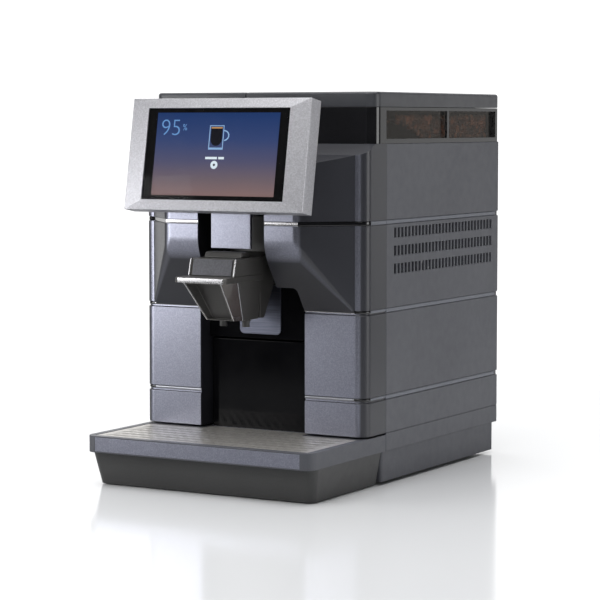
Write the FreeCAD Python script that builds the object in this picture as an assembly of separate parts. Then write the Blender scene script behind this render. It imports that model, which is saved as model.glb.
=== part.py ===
import FreeCAD, Part
import math
import os

# Countertop bean-to-cup coffee machine. Millimetres, +Z up, front towards -Y,
# origin at the middle of the footprint on the worktop.

# Overall size
width = 290.0
depth = 462.0
height = 438.0

# Heights that are counted from the worktop
foot_h = 4.0
base_top = 37.7
deck_z = 58.4
spout_z = 187.0

# Heights that are counted down from the top
lid_h = 16.9
collar_h = 40.4
slope_drop = 24.1

# Front faces, counted back from the front of the drip tray
face_back = 75.6
pillar_back = 121.0
band_back = 143.0
seam_back = 170.0

# Widths of the faceted front
facet_w = 59.4
corner_r = 13.2
rear_r = 5.0
bay_half = 68.1
slot_outer = 43.0
strip_half = 25.7

# Sheet and shell thicknesses
shell = 4.0
skin = 3.0
plate = 2.0
groove_h = 5.4
groove_d = 1.6

# Clearances
run_gap = 0.5
pin_gap = 0.05
lid_seat = 0.4

# Derived positions
half = width / 2
front = -depth / 2
rear = depth / 2
face_y = front + face_back
pillar_y = front + pillar_back
band_y = front + band_back
seam_y = front + seam_back
face_half = half - facet_w
collar_z1 = height - lid_h
collar_z0 = collar_z1 - collar_h
lift = height - 438.0
face_bottom = 261.7 + lift
pillar_top = 195.7 + lift
bay_top = 222.0 + lift
back_y = pillar_y + 19.4
strip_z0 = 265.0 + lift
slot_top = 318.0 + lift
container_top = 158.0 + lift
shelf_z = 161.0 + lift
inner_x = half - skin
V = FreeCAD.Vector

os.makedirs("parts", exist_ok=True)


def box(x0, x1, y0, y1, z0, z1):
    return Part.makeBox(x1 - x0, y1 - y0, z1 - z0, V(x0, y0, z0))


def slab(points, axis, low, high):
    """A polygon in the plane square to an axis, pushed from low to high along it."""
    if axis == "z":
        loop = [V(a, b, low) for a, b in points]
        way = V(0, 0, high - low)
    elif axis == "x":
        loop = [V(low, a, b) for a, b in points]
        way = V(high - low, 0, 0)
    else:
        loop = [V(a, low, b) for a, b in points]
        way = V(0, high - low, 0)
    return Part.Face(Part.makePolygon(loop + [loop[0]])).extrude(way)


def rod(radius, x, y, z, length, way="z"):
    ways = {"x": V(1, 0, 0), "y": V(0, 1, 0), "z": V(0, 0, 1)}
    return Part.makeCylinder(radius, length, V(x, y, z), ways[way])


def tube(outer, inner, x, y, z, length, way="z"):
    return rod(outer, x, y, z, length, way).cut(rod(inner, x, y, z, length, way))


def rounded(x0, x1, y0, y1, z0, z1, radius, rear_radius=0):
    """A block with rounded upright edges, the rear pair to a radius of their own."""
    block = box(x0, x1, y0, y1, z0, z1)
    for at_rear, r in ((False, radius), (True, rear_radius or radius)):
        edges = [
            e
            for e in block.Edges
            if abs(e.tangentAt(e.FirstParameter).z) > 0.9
            and abs(e.CenterOfMass.y - (y1 if at_rear else y0)) < 0.01
        ]
        block = block.makeFillet(r, edges)
    return block


def taper(low, high):
    """A solid between two rectangles (x0, x1, y0, y1, z) or two loops of points."""
    wires = []
    for r in (low, high):
        if len(r) == 5:
            x0, x1, y0, y1, z = r
            r = [(x0, y0, z), (x1, y0, z), (x1, y1, z), (x0, y1, z)]
        pts = [V(*p) for p in r]
        wires.append(Part.makePolygon(pts + [pts[0]]))
    return Part.makeLoft(wires, True, True)


def joined(shapes):
    out = shapes[0].multiFuse(shapes[1:]) if len(shapes) > 1 else shapes[0]
    return out.removeSplitter()


def without(shape, tools):
    return shape.cut(Part.Compound(tools))


def mirrored(shape):
    return shape.mirror(V(0, 0, 0), V(1, 0, 0))


def save(name, shape):
    """One solid per file, or a group of matching solids passed as a list."""
    group = shape if isinstance(shape, list) else [shape]
    solids = []
    for item in group:
        if len(item.Solids) != 1 or not item.Solids[0].isValid():
            print("CHECK", name, len(item.Solids), [s.isValid() for s in item.Solids])
        solids.append(item.Solids[0])
    whole = solids[0] if len(solids) == 1 else Part.Compound(solids)
    whole.exportStep("parts/" + name + ".step")


# ---------------------------------------------------------------- front shell
def plan(inset):
    """The faceted front seen from above, moved inwards by a wall thickness."""
    k = inset * 0.42
    r = max(corner_r - inset, 1.0)
    cx = half - corner_r
    cy = pillar_y + corner_r
    pts = [(face_half - k, face_y + inset)]
    pts.append((half - corner_r - k, pillar_y + inset))
    for i in range(1, 7):
        a = math.radians(90.0 * i / 6)
        pts.append((cx + r * math.sin(a), cy - r * math.cos(a)))
    pts.append((half - inset, seam_y + (0 if inset == 0 else 5)))
    return [(-x, y) for x, y in reversed(pts)] + pts


def front_block(inset, z0, z1):
    return slab(plan(inset), "z", z0, z1)


def front_profile(inset):
    """Side view of the upper front: sloped top, upright face, undercut facet."""
    t = inset
    top = collar_z0
    return [
        (seam_y + (0 if t == 0 else 5), pillar_top - (0 if t == 0 else 1)),
        (pillar_y + t * 1.2, pillar_top - (0 if t == 0 else 1)),
        (face_y + t, face_bottom + t * 0.5),
        (face_y + t, top - slope_drop - t),
        (pillar_y + t, top - slope_drop / 2 - t),
        (band_y + t * 0.5, top - t),
        (seam_y + (0 if t == 0 else 5), top - t),
    ]


def groove_ring(z):
    """The stock that a horizontal groove takes off the front shell."""
    tall = front_block(0, z - groove_h / 2, z + groove_h / 2)
    return tall.cut(front_block(groove_d, z - groove_h, z + groove_h))


def pillar_groove(z):
    """The stock that a groove takes off the flat front of the right pillar."""
    return box(bay_half, half - corner_r, pillar_y, pillar_y + groove_d, z - groove_h / 2, z + groove_h / 2)


outer_profile = slab(front_profile(0), "x", -half, half)
inner_profile = slab(front_profile(shell), "x", -half, half)
upper_outer = front_block(0, pillar_top, collar_z0).common(outer_profile)
upper_inner = front_block(shell, pillar_top - 1, collar_z0).common(inner_profile)
bay_cut = box(-bay_half, bay_half, face_y - 10, seam_y + 6, pillar_top - 1, bay_top)
round_edges = [
    e
    for e in bay_cut.Edges
    if abs(e.tangentAt(e.FirstParameter).y) > 0.9 and e.CenterOfMass.z > bay_top - 1
]
bay_cut = bay_cut.makeFillet(5.0, round_edges)
slot_cut = box(-slot_outer, slot_outer, face_y - 1, band_y, bay_top - 1, slot_top)
groove_levels = [293.9 + lift, pillar_top, 98.6]
cover = without(upper_outer, [upper_inner, bay_cut, slot_cut])
cover = without(cover, [groove_ring(groove_levels[0]), groove_ring(groove_levels[1])])
save("upper_front_cover", cover)

# Lower pillar covers, each with a return wall along the side of the cup bay
inner_loop = [
    (bay_half + shell, seam_y + 1),
    (bay_half + shell, pillar_y + shell),
    (half - corner_r, pillar_y + shell),
    (half - shell, pillar_y + corner_r),
    (half - shell, seam_y + 1),
]
pillar_right = front_block(0, deck_z, pillar_top).common(
    box(bay_half, half, pillar_y, seam_y, deck_z, pillar_top)
)
pillar_right = without(
    pillar_right,
    [
        slab(inner_loop, "z", deck_z - 1, pillar_top + 1),
        groove_ring(groove_levels[1]),
        groove_ring(groove_levels[2]),
        pillar_groove(groove_levels[1]),
        pillar_groove(groove_levels[2]),
    ],
)
save("pillar_cover_right", pillar_right)
save("pillar_cover_left", mirrored(pillar_right))

# Gloss wall at the back of the cup bay, above the grounds container
save(
    "bay_back_panel",
    box(-bay_half, bay_half, back_y, back_y + 3, container_top + 2, bay_top + 6),
)
splash = box(-27, 27, back_y - 1.5, back_y, 165.0 + lift, bay_top)
splash_edges = [
    e
    for e in splash.Edges
    if abs(e.tangentAt(e.FirstParameter).y) > 0.9 and e.CenterOfMass.z < bay_top - 1
]
save("splash_plate", splash.makeFillet(6.0, splash_edges))

# Bay roof and cheeks, open in the middle for the spout
roof = without(
    box(-bay_half - 2.5, bay_half + 2.5, face_y, back_y, pillar_top, bay_top + 2.5),
    [
        box(-bay_half, bay_half, face_y - 1, back_y + 1, pillar_top - 1, bay_top),
        box(-slot_outer - 0.5, slot_outer + 0.5, face_y - 1, band_y - 17, bay_top - 1, bay_top + 3),
    ],
)
save("bay_liner", roof.common(upper_inner))

# Channel behind the two front slots, with the centre rail that guides the spout
channel_y = band_y - 17
channel = without(
    box(-slot_outer - 3, slot_outer + 3, face_y, channel_y + 3, bay_top + 4, slot_top + 3),
    [box(-slot_outer - 0.5, slot_outer + 0.5, face_y - 1, channel_y, bay_top, slot_top + 0.4)],
)
rail = box(-8, 8, channel_y - 3.5, channel_y, bay_top + 4, slot_top + 0.4)
strip_tab_room = box(-30, 30, face_y, face_y + shell + 4, slot_top - 22, slot_top + 22)
slot_liner = joined([channel.common(upper_inner), rail]).cut(strip_tab_room)
save("slot_liner", slot_liner)
strip = joined(
    [
        box(-strip_half, strip_half, face_y, face_y + shell, strip_z0, slot_top),
        box(-strip_half, strip_half, face_y + shell, face_y + shell + 3, slot_top - 18, slot_top + 16),
    ]
)
save("guide_strip", strip)

# ---------------------------------------------------------------------- base
feet_x = half - 30
feet_y = [seam_y + 30, rear - 35]
save("feet", [rod(10, sx * feet_x, fy, 0, foot_h) for sx in (-1, 1) for fy in feet_y])

base_front = seam_y - 7
pan = rounded(-half + 2, half - 2, base_front, rear - 7, foot_h, base_top, 4)
pan = pan.cut(box(-half + 4.5, half - 4.5, base_front + 2.5, rear - 9.5, foot_h + 3, base_top + 1))
save("base_pan", pan)

cradle_half = bay_half - 2
frame = box(-half, half, seam_y, rear, base_top, deck_z)
frame = without(
    frame,
    [
        box(-half + shell, half - shell, seam_y + shell, rear - shell, base_top - 1, deck_z + 1),
        box(-cradle_half - 3, cradle_half + 3, seam_y - 1, seam_y + 5, base_top + 6, deck_z + 1),
    ],
)
save("base_frame", frame)

# ------------------------------------------------------------ cabinet panels
louvre_pitch = 8.6
louvre_w = 5.0
louvre_n = 30


def side_panel():
    panel = box(inner_x, half, seam_y, rear, deck_z, collar_z0)
    cuts = []
    for z in groove_levels:
        cuts.append(box(half - groove_d, half + 1, seam_y - 1, rear + 1, z - groove_h / 2, z + groove_h / 2))
    for row in range(3):
        z0 = 275.9 + lift - 20.2 * row
        for i in range(louvre_n):
            y0 = rear - 19 - louvre_w - louvre_pitch * i
            cuts.append(box(inner_x - 1, half + 1, y0, y0 + louvre_w, z0, z0 + 11.2))
    return without(panel, cuts)


right_panel = side_panel()
save("side_panel_right", right_panel)
save("side_panel_left", mirrored(right_panel))

inlet_x = half - 45
switch_x = half - 85
mains_z = 88.0
fan_x = 60.0
fan_z = shelf_z + 89
rear_cuts = [
    box(inlet_x - 14, inlet_x + 14, rear - 5, rear + 1, mains_z - 10, mains_z + 10),
    box(switch_x - 6.6, switch_x + 6.6, rear - 5, rear + 1, mains_z - 9.8, mains_z + 9.8),
]
for i in range(7):
    z = fan_z - 27 + 9 * i
    rear_cuts.append(box(fan_x - 26, fan_x + 26, rear - 5, rear + 1, z - 2, z + 2))
rear_panel = box(-inner_x, inner_x, rear - skin, rear, deck_z, collar_z0)
save("rear_panel", without(rear_panel, rear_cuts))

# ------------------------------------------------------------------- chassis
floor_z = deck_z + plate
channel_rear = seam_y + 85
chassis_floor = box(-inner_x, inner_x, seam_y + 5, rear - skin, deck_z, floor_z)
chassis_floor = chassis_floor.cut(box(-cradle_half - 3, cradle_half + 3, seam_y, channel_rear, deck_z - 1, floor_z + 1))
save("chassis_floor", chassis_floor)
post = 9.0
post_x = inner_x - post
posts = [(-inner_x, seam_y + 6), (post_x, seam_y + 6), (-inner_x, rear - skin - post), (post_x, rear - skin - post)]
save("corner_posts", [box(px, px + post, py, py + post, floor_z, collar_z0 - 5) for px, py in posts])
wall_x = bay_half + shell + 0.4
wall = box(wall_x, wall_x + plate, seam_y + 5, channel_rear, floor_z, shelf_z)
save("container_walls", [wall, mirrored(wall)])

# Tank bay on the left, hopper and grinder on the right
tank_x0 = -inner_x + 11
tank_x1 = tank_x0 + 47
tank_y0 = rear - 200
tank_y1 = rear - 18
brew_x = -28.0
brew_y = seam_y + 55
grind_x = 62.0
grind_y = rear - 125
shelf = box(-inner_x, inner_x, seam_y + 5, rear - skin, shelf_z, shelf_z + plate)
shelf_cuts = [box(px - 1, px + post + 1, py - 6, py + post + 6, shelf_z - 1, shelf_z + 5) for px, py in posts]
shelf_cuts.append(box(-inner_x - 1, tank_x1 + 2, tank_y0 - 2, rear, shelf_z - 1, shelf_z + 5))
shelf_cuts.append(rod(21, brew_x, brew_y, shelf_z - 1, 10))
shelf_cuts.append(box(half - 62, inner_x + 1, seam_y + 20, seam_y + 110, shelf_z - 1, shelf_z + 5))
save("shelf", without(shelf, shelf_cuts))

# ---------------------------------------------------------- top collar, panes
lid_split = -21.0
hinge_y = rear - 7
hinge_z = collar_z1 + 6.9
window_z0 = collar_z0 + 5.4
window_z1 = collar_z1 - 4.1
window_y0 = band_y + 26
mullion_y = window_y0 + 151
window_y1 = rear - 10
openings = [(window_y0, mullion_y), (mullion_y + 5.3, window_y1)]
collar = rounded(-half, half, band_y, rear, collar_z0, collar_z1, corner_r, rear_r)
inner = rounded(-inner_x, inner_x, band_y + skin, rear - skin, collar_z0 - 1, collar_z1 + 1, corner_r - skin, rear_r - skin)
collar = collar.cut(inner)
divider = box(lid_split - 2.5, lid_split + 0.5, band_y + skin, rear - skin, collar_z0, collar_z1)
ledges = []
for s in (-1, 1):
    ledges.append(box(min(s * inner_x, s * (inner_x - 2)), max(s * inner_x, s * (inner_x - 2)),
                      window_y0 - 2, window_y1 + 2, collar_z0, window_z0 - 2.5))
ledge_x = inner_x - 9
ledge_z = collar_z1 - 6
ledges.append(box(-ledge_x, ledge_x, band_y + skin, band_y + skin + 3, ledge_z, ledge_z + 2))
ledges.append(box(-ledge_x, ledge_x, rear - skin - 1.5, rear - skin, ledge_z, ledge_z + 2))
collar = joined([collar, divider] + ledges)
window_holes = []
for s in (-1, 1):
    for y0, y1 in openings:
        window_holes.append(box(s * half - 4, s * half + 4, y0, y1, window_z0, window_z1))
save("top_collar", without(collar, window_holes))
pane = [box(inner_x - 1.5, inner_x, window_y0 - 1.5, window_y1 + 1.5, window_z0 - 2.4, window_z1 + 1.5)]
for y0, y1 in openings:
    pane.append(box(inner_x, half, y0 + 0.15, y1 - 0.15, window_z0 + 0.15, window_z1 - 0.15))
pane = joined(pane)
save("window_panes", [pane, mirrored(pane)])

# Hopper: a flange, a square bin behind the window and a funnel to the grinder
flange_z = collar_z1 - 4
hop_x0 = lid_split + 1.5
hop_x1 = inner_x - 3.5
hop_y0 = band_y + 8
hop_y1 = rear - skin - 2.5
throat = 20.0
throat_z = 330.0 + lift


def hopper_block(t, over):
    lean = 89.0 / (flange_z - window_z0 + 2)
    bin_part = slab(
        [
            (hop_y0 + 38 + t * 1.2 - over * lean, flange_z + over),
            (hop_y1 - t - 4, flange_z + over),
            (hop_y1 - t - 4, window_z0 - 2),
            (hop_y0 + 127 + t * 1.2, window_z0 - 2),
        ],
        "x",
        hop_x0 + 3 + t,
        hop_x1 - t,
    )
    funnel = taper(
        (grind_x - throat + t, grind_x + throat - t, grind_y - throat + t, grind_y + throat - t, throat_z - over),
        (hop_x0 + 3 + t, hop_x1 - t, hop_y0 + 127 + t * 1.2, hop_y1 - t - 4, window_z0 - 2),
    )
    return joined([bin_part, funnel])


hopper_flange = rounded(hop_x0, hop_x1 + 1.5, hop_y0, hop_y1, flange_z, collar_z1 - 0.5, 3)
hopper_inside = hopper_block(2.2, 5)
hopper = joined([hopper_flange, hopper_block(0, 0)]).cut(hopper_inside)
ear_x_right = [(12.0, 18.0), (hop_x1 - 22, hop_x1 - 16)]
ear_x_left = [(-hop_x1 + 16, -hop_x1 + 22), (lid_split - 24, lid_split - 18)]


def ears(spans):
    out = []
    for x0, x1 in spans:
        knuckle = joined(
            [
                rod(5, x0, hinge_y, hinge_z, x1 - x0, "x"),
                box(x0, x1, hinge_y - 5, hinge_y + 1.5, flange_z, hinge_z),
            ]
        )
        out.append(knuckle.cut(rod(2 + pin_gap, x0 - 1, hinge_y, hinge_z, x1 - x0 + 2, "x")))
    return out


save("bean_hopper", joined([hopper] + ears(ear_x_right)))
bean_fill = hopper_block(2.2 + 0.4, -0.4).common(
    box(-width, width, -depth, depth, throat_z + 3, flange_z - 8)
)
save("coffee_beans", bean_fill)


# Lids: shallow shells, solid along the hinge and notched around the knuckles
def lid(x0, x1, spans, r_left, r_right):
    block = box(x0, x1, band_y, rear, collar_z1 + lid_seat, height)
    back_left = rear_r if r_left else 0
    back_right = rear_r if r_right else 0
    for x, y, r in ((x0, band_y, r_left), (x1, band_y, r_right), (x0, rear, back_left), (x1, rear, back_right)):
        if r > 0:
            edge = [
                e
                for e in block.Edges
                if abs(e.CenterOfMass.x - x) < 0.01
                and abs(e.CenterOfMass.y - y) < 0.01
                and abs(e.tangentAt(e.FirstParameter).z) > 0.9
            ]
            block = block.makeFillet(r, edge)
    top = [e for e in block.Edges if e.CenterOfMass.z > height - 0.01]
    block = block.makeFillet(3.0, top)
    hollow = rounded(x0 + 3.5, x1 - 3.5, band_y + 3.5, hinge_y - 9, collar_z1 - 1, height - 3, 9)
    heel = box(x0 - 1, x1 + 1, hinge_y, rear + 1, collar_z1 - 1, hinge_z)
    heel = heel.cut(rod(6.9 - lid_seat, x0 - 2, hinge_y, hinge_z, x1 - x0 + 4, "x"))
    cuts = [hollow, heel, rod(2 + pin_gap, x0 + 6, hinge_y, hinge_z, x1 - x0 - 12, "x")]
    for a, b in spans:
        cuts.append(box(a - 0.6, b + 0.6, hinge_y - 6, rear + 1, collar_z1 - 1, hinge_z + 6))
    return without(block, cuts)


save("hopper_lid", lid(lid_split + 1, half, ear_x_right, 0, corner_r))
save("tank_lid", lid(-half, lid_split - 1, ear_x_left, corner_r, 0))
save("hopper_lid_pin", rod(2, lid_split + 9, hinge_y, hinge_z, half - 8 - lid_split - 9, "x"))
save("tank_lid_pin", rod(2, -half + 8, hinge_y, hinge_z, lid_split - 9 + half - 8, "x"))

# ---------------------------------------------------------------- water tank
tank_z = floor_z + 12
tank = rounded(tank_x0, tank_x1, tank_y0, tank_y1, tank_z, collar_z1 - 0.5, 8)
tank_flange = rounded(-hop_x1 - 1.5, lid_split - 4, hop_y0, hop_y1, flange_z, collar_z1 - 0.5, 3)
tank_inside = rounded(tank_x0 + 2.5, tank_x1 - 2.5, tank_y0 + 2.5, tank_y1 - 2.5, tank_z + 3, height, 6)
tank_mid_x = (tank_x0 + tank_x1) / 2
tank_port = rod(6, tank_mid_x, tank_y0 + 30, tank_z - 1, 10)
tank = joined([tank, tank_flange] + ears(ear_x_left))
save("water_tank", without(tank, [tank_inside, tank_port]))
seat = box(tank_x0 - 2, tank_x1 + 2, tank_y0 - 2, tank_y1 + 2, floor_z, tank_z - 0.5)
seat = without(seat, [box(tank_x0 + 3, tank_x1 - 3, tank_y0 + 50, tank_y1 - 3, floor_z + 3, tank_z)])
spigot = rod(4.5, tank_mid_x, tank_y0 + 30, tank_z - 2, 9)
save("tank_seat", joined([seat, spigot]))

# ------------------------------------------------------------------- display
tilt = 9.8
disp_half = 114.3
disp_h = 124.5
disp_t = 21.0
disp_y = face_y - 40.2
disp_z = height - 130.0


def tilted(shape):
    """From the display's own frame (x, depth, height) to its place on the machine."""
    out = shape.copy()
    out.rotate(V(0, 0, 0), V(1, 0, 0), -tilt)
    out.translate(V(0, disp_y, disp_z))
    return out


housing = box(-disp_half, disp_half, 2.0, disp_t, 0, disp_h)
housing = housing.cut(box(-disp_half + 2.5, disp_half - 2.5, 1.0, disp_t - 2.5, 2.5, disp_h - 2.5))
save("display_housing", tilted(housing))
glass_half = 91.1
glass_margin = 10.8
bulge = 3.4
bevel = Part.makeLoft(
    [
        Part.makePolygon([V(-disp_half, 0, 0), V(disp_half, 0, 0), V(disp_half, 0, disp_h), V(-disp_half, 0, disp_h), V(-disp_half, 0, 0)]),
        Part.makePolygon(
            [
                V(-glass_half, -bulge, glass_margin),
                V(glass_half, -bulge, glass_margin),
                V(glass_half, -bulge, disp_h - glass_margin),
                V(-glass_half, -bulge, disp_h - glass_margin),
                V(-glass_half, -bulge, glass_margin),
            ]
        ),
    ],
    True,
    True,
)
bezel = joined([bevel, box(-disp_half, disp_half, 0, 2.0, 0, disp_h)])
bezel = without(
    bezel,
    [
        box(-glass_half + 0.6, glass_half - 0.6, -bulge - 1, 3, glass_margin + 0.6, disp_h - glass_margin - 0.6),
    ],
)
save("display_bezel", tilted(bezel))
save(
    "display_glass",
    tilted(box(-glass_half + 0.7, glass_half - 0.7, -bulge + 0.3, -bulge + 2.0, glass_margin + 0.7, disp_h - glass_margin - 0.7)),
)
save("display_panel", tilted(box(-82, 82, -bulge + 2.0, 3.5, disp_h / 2 - 50, disp_h / 2 + 50)))


def display_back(z):
    t = math.radians(tilt)
    return disp_y + disp_t / math.cos(t) + (z - disp_z) * math.tan(t)


arm_z0 = disp_z + 14
arm_z1 = disp_z + 44
arm = [(display_back(arm_z0), arm_z0), (face_y, arm_z0), (face_y, arm_z1), (display_back(arm_z1), arm_z1)]
save("display_bracket", slab(arm, "x", -slot_outer - 4, slot_outer + 4))

# --------------------------------------------------------------------- spout
block_z0 = spout_z + 50 + lift
block_z1 = block_z0 + 19
collar_low = block_z0 - 6.6
low_z = spout_z + lift
spout_rear = face_y + 20.4
block = [
    (face_y - 40.6, block_z0),
    (spout_rear, block_z0),
    (spout_rear, block_z1),
    (face_y - 36.1, block_z1),
]
spout_block = slab(block, "x", -29.3, 29.3)
plate_pocket = slab(
    [(face_y - 41.6, block_z0), (face_y - 39.1, block_z0), (face_y - 34.6, block_z1), (face_y - 37.1, block_z1)],
    "x",
    -26.9,
    26.9,
)
name_plate = slab(
    [(face_y - 40.6, block_z0), (face_y - 39.1, block_z0), (face_y - 34.6, block_z1), (face_y - 36.1, block_z1)],
    "x",
    -26.9,
    26.9,
)
save("spout_block", spout_block.cut(plate_pocket))
save("spout_plate", name_plate)
bar_y = face_y - 62.1
collar_plan = [
    (-32.6, bar_y + 2),
    (32.6, bar_y + 2),
    (32.6, bar_y + 6),
    (29.3, face_y - 34),
    (29.3, spout_rear),
    (-29.3, spout_rear),
    (-29.3, face_y - 34),
    (-32.6, bar_y + 6),
]
save("spout_collar", slab(collar_plan, "z", collar_low, block_z0))
save("spout_trim", box(-32.6, 32.6, bar_y, bar_y + 2, collar_low, block_z0 - 0.8))


def funnel_loop(x_front, x_side, y_front, y_mid, y_back, z):
    return [
        (-x_front, y_front, z),
        (x_front, y_front, z),
        (x_side, y_mid, z),
        (x_side, y_back, z),
        (-x_side, y_back, z),
        (-x_side, y_mid, z),
    ]


funnel_out = taper(
    funnel_loop(17.1, 23.0, face_y - 21.6, face_y - 12.6, spout_rear, low_z),
    funnel_loop(23.5, 27.5, face_y - 59.1, face_y - 30.6, spout_rear, collar_low),
)
funnel_in = taper(
    funnel_loop(15.0, 20.5, face_y - 17.6, face_y - 10.6, spout_rear - 2.5, low_z + 3),
    funnel_loop(21.0, 25.0, face_y - 55.1, face_y - 29.1, spout_rear - 2.5, collar_low + 0.01),
)
nozzle_x = 14.5
nozzle_y = face_y + 8.4
ports = [rod(2.5, s * nozzle_x, nozzle_y, low_z - 1, 6) for s in (-1, 1)]
save("spout_funnel", without(funnel_out, [funnel_in] + ports))
nozzles = []
for s in (-1, 1):
    tip = joined([rod(4.2, s * nozzle_x, nozzle_y, low_z - 8.7, 8.7), rod(5.4, s * nozzle_x, nozzle_y, low_z - 2.5, 2.5)])
    nozzles.append(tip.cut(rod(2.5, s * nozzle_x, nozzle_y, low_z - 10, 12)))
save("nozzles", nozzles)
hood = [(face_y - 17.6, block_z1), (face_y + 3, block_z1), (face_y + 3, block_z1 + 4), (face_y - 4, block_z1 + 6.5), (face_y - 14, block_z1 + 6.5)]
save("spout_hood", slab(hood, "x", -24.3, 24.3))

# Carriage: joins the spout to the rail behind the centre strip
carriage = slab(
    [
        (spout_rear, low_z + 1),
        (spout_rear + 9, low_z + 1),
        (channel_y - 0.5, low_z + 36),
        (channel_y - 0.5, block_z1 + 44),
        (channel_y - 9.5, block_z1 + 44),
        (channel_y - 9.5, block_z1 + 4),
        (spout_rear, block_z1),
    ],
    "x",
    -26,
    26,
)
wings = [
    box(-36, 36, channel_y - 9.5, channel_y - 0.5, block_z1 + 8, block_z1 + 44),
]
carriage = joined([carriage] + wings)
carriage = carriage.cut(box(-8 - run_gap, 8 + run_gap, channel_y - 4, channel_y + 1, low_z, block_z1 + 50))
save("spout_carriage", carriage)

# ----------------------------------------------------------------- drip tray
rim_z0 = base_top + 0.3
rim_z1 = deck_z - 1.9
tray_rear = seam_y - 0.6
tub_top = (-half + 0.8, half - 0.8, front + 9.5, base_front - 4, rim_z0)
tub_low = (-half + 7.5, half - 7.5, front + 16.5, base_front - 4, 1.2)
tub_in_top = (-half + 3.8, half - 3.8, front + 12.5, base_front - 7, rim_z0 + 0.01)
tub_in_low = (-half + 10.4, half - 10.4, front + 19.4, base_front - 7, 4.0)
tub = taper(tub_low, tub_top)
tub_edges = [e for e in tub.Edges if e.CenterOfMass.y < front + 20 and abs(e.tangentAt(e.FirstParameter).z) > 0.8]
tub = tub.makeFillet(10.0, tub_edges)
save("tray_tub", tub.cut(taper(tub_in_low, tub_in_top)))

grid_half = half - 9.4
grid_front = front + 9.5
grid_mid = pillar_y - 2.2
tongue_half = bay_half - 2.6
tongue_rear = back_y - 2.0


def tee(t, z0, z1):
    """The T-shaped cup area: full width in front of the pillars, narrower in the bay."""
    return joined(
        [
            box(-grid_half - t, grid_half + t, grid_front - t, grid_mid + t, z0, z1),
            box(-tongue_half - t, tongue_half + t, grid_mid - 5, tongue_rear + t, z0, z1),
        ]
    )


rim_block = box(-half, half, front, tray_rear, rim_z0, rim_z1)
rim_edges = [e for e in rim_block.Edges if e.CenterOfMass.y < front + 1 and abs(e.tangentAt(e.FirstParameter).z) > 0.9]
rim_block = rim_block.makeFillet(corner_r, rim_edges)
fascia_room = box(-half + 13.6, half - 13.6, front - 1, front + 1.5, rim_z0 + 1.4, rim_z1 - 1.4)
cradle_slot = box(-cradle_half, cradle_half, tongue_rear + 2, tray_rear + 1, rim_z1 - 1, rim_z1 + 1)
rim = without(rim_block, [tee(0.8, rim_z1 - 6, rim_z1 + 1), tee(-3.5, rim_z0 - 1, rim_z1), fascia_room, cradle_slot])
cradle_rear = channel_rear - 3
cradle = box(-cradle_half + run_gap, cradle_half - run_gap, tongue_rear + 4.5, cradle_rear, rim_z1 - 5, rim_z1 - 1)
save("tray_rim", joined([rim, cradle]))
save("tray_fascia", box(-half + 13.6, half - 13.6, front, front + 1.5, rim_z0 + 1.4, rim_z1 - 1.4))

grid = tee(0, rim_z1 - 6, rim_z1 - 0.3).cut(tee(-2, rim_z1 - 7, rim_z1 - 1.8))
slots = []
slot_pitch = 11.5
row_pitch = 15.5
row_n = int((grid_mid - grid_front - 10) / row_pitch)
for row in range(row_n + 1):
    y = grid_front + 11 + row * row_pitch
    wide = grid_half if row < row_n else tongue_half
    n = int((2 * wide - 26) / slot_pitch)
    for i in range(n + 1):
        x = (i - n / 2) * slot_pitch
        pts = [(x - 8, y - 5), (x - 3.2, y - 5), (x + 8, y + 5), (x + 3.2, y + 5)]
        slots.append(slab(pts, "z", rim_z1 - 3, rim_z1 + 1))
save("cup_grid", without(grid, slots))

# Grounds container, standing on the rim's rear cradle and pulled out with the tray
can = box(-bay_half + 4, bay_half - 4, back_y, cradle_rear - 2, rim_z1 - 1, container_top)
can_in = box(-bay_half + 6.5, bay_half - 6.5, back_y + 3, cradle_rear - 4.5, rim_z1 + 2, container_top + 1)
save("grounds_container", can.cut(can_in))

# ------------------------------------------------------- grinder and hopper feed
grind_top = throat_z - 0.6
grind_z0 = grind_top - 58
body_r = 44.0
ring_in = 24.0
grinder = tube(body_r, body_r - 4, grind_x, grind_y, grind_z0, 58)
lid_ring = tube(body_r - 4, ring_in, grind_x, grind_y, grind_top - 5, 5)
grind_floor = tube(body_r - 4, 8, grind_x, grind_y, grind_z0, 4)
chute_port = box(grind_x - body_r - 2, grind_x - body_r + 12, grind_y - 7, grind_y + 7, grind_z0 + 6, grind_z0 + 18)
save("grinder_housing", joined([grinder, lid_ring, grind_floor]).cut(chute_port))
save("upper_burr", tube(body_r - 5, ring_in, grind_x, grind_y, grind_top - 19, 14))
lower = joined([tube(34, 12, grind_x, grind_y, grind_z0 + 20, 16), rod(12.2, grind_x, grind_y, grind_z0 + 14, 22), rod(5, grind_x, grind_y, grind_z0 - 20, 36)])
save("lower_burr", lower)
motor_top = grind_z0
motor_z0 = shelf_z + plate
motor = rod(33, grind_x, grind_y, motor_z0, motor_top - motor_z0)
save("grinder_motor", motor.cut(rod(5 + 0.08, grind_x, grind_y, motor_top - 30, 31)))
# ----------------------------------------------------------------- brew unit
frame_z0 = shelf_z + plate
chamber_z0 = frame_z0 + 7
chamber_z1 = chamber_z0 + 34
frame_top = grind_z0 - 6
guide_x = 29.0
screw_x = brew_x
screw_y = brew_y + 36
brew_base = box(brew_x - 36, brew_x + 36, brew_y - 30, brew_y + 46, frame_z0, frame_z0 + 7).cut(rod(20, brew_x, brew_y, frame_z0 - 1, 10))
brew_head = box(brew_x - 36, brew_x + 36, brew_y - 10, brew_y + 46, frame_top - 8, frame_top)
guides = [rod(4, brew_x + s * guide_x, brew_y + 12, frame_z0, frame_top - frame_z0) for s in (-1, 1)]
screw_room = [rod(4 + 0.06, screw_x, screw_y, frame_z0 - 1, frame_top - frame_z0 + 2)]
save("brew_frame", without(joined([brew_base, brew_head] + guides), screw_room))
save("brew_chamber", tube(24, 20.5, brew_x, brew_y, chamber_z0, chamber_z1 - chamber_z0))
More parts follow.
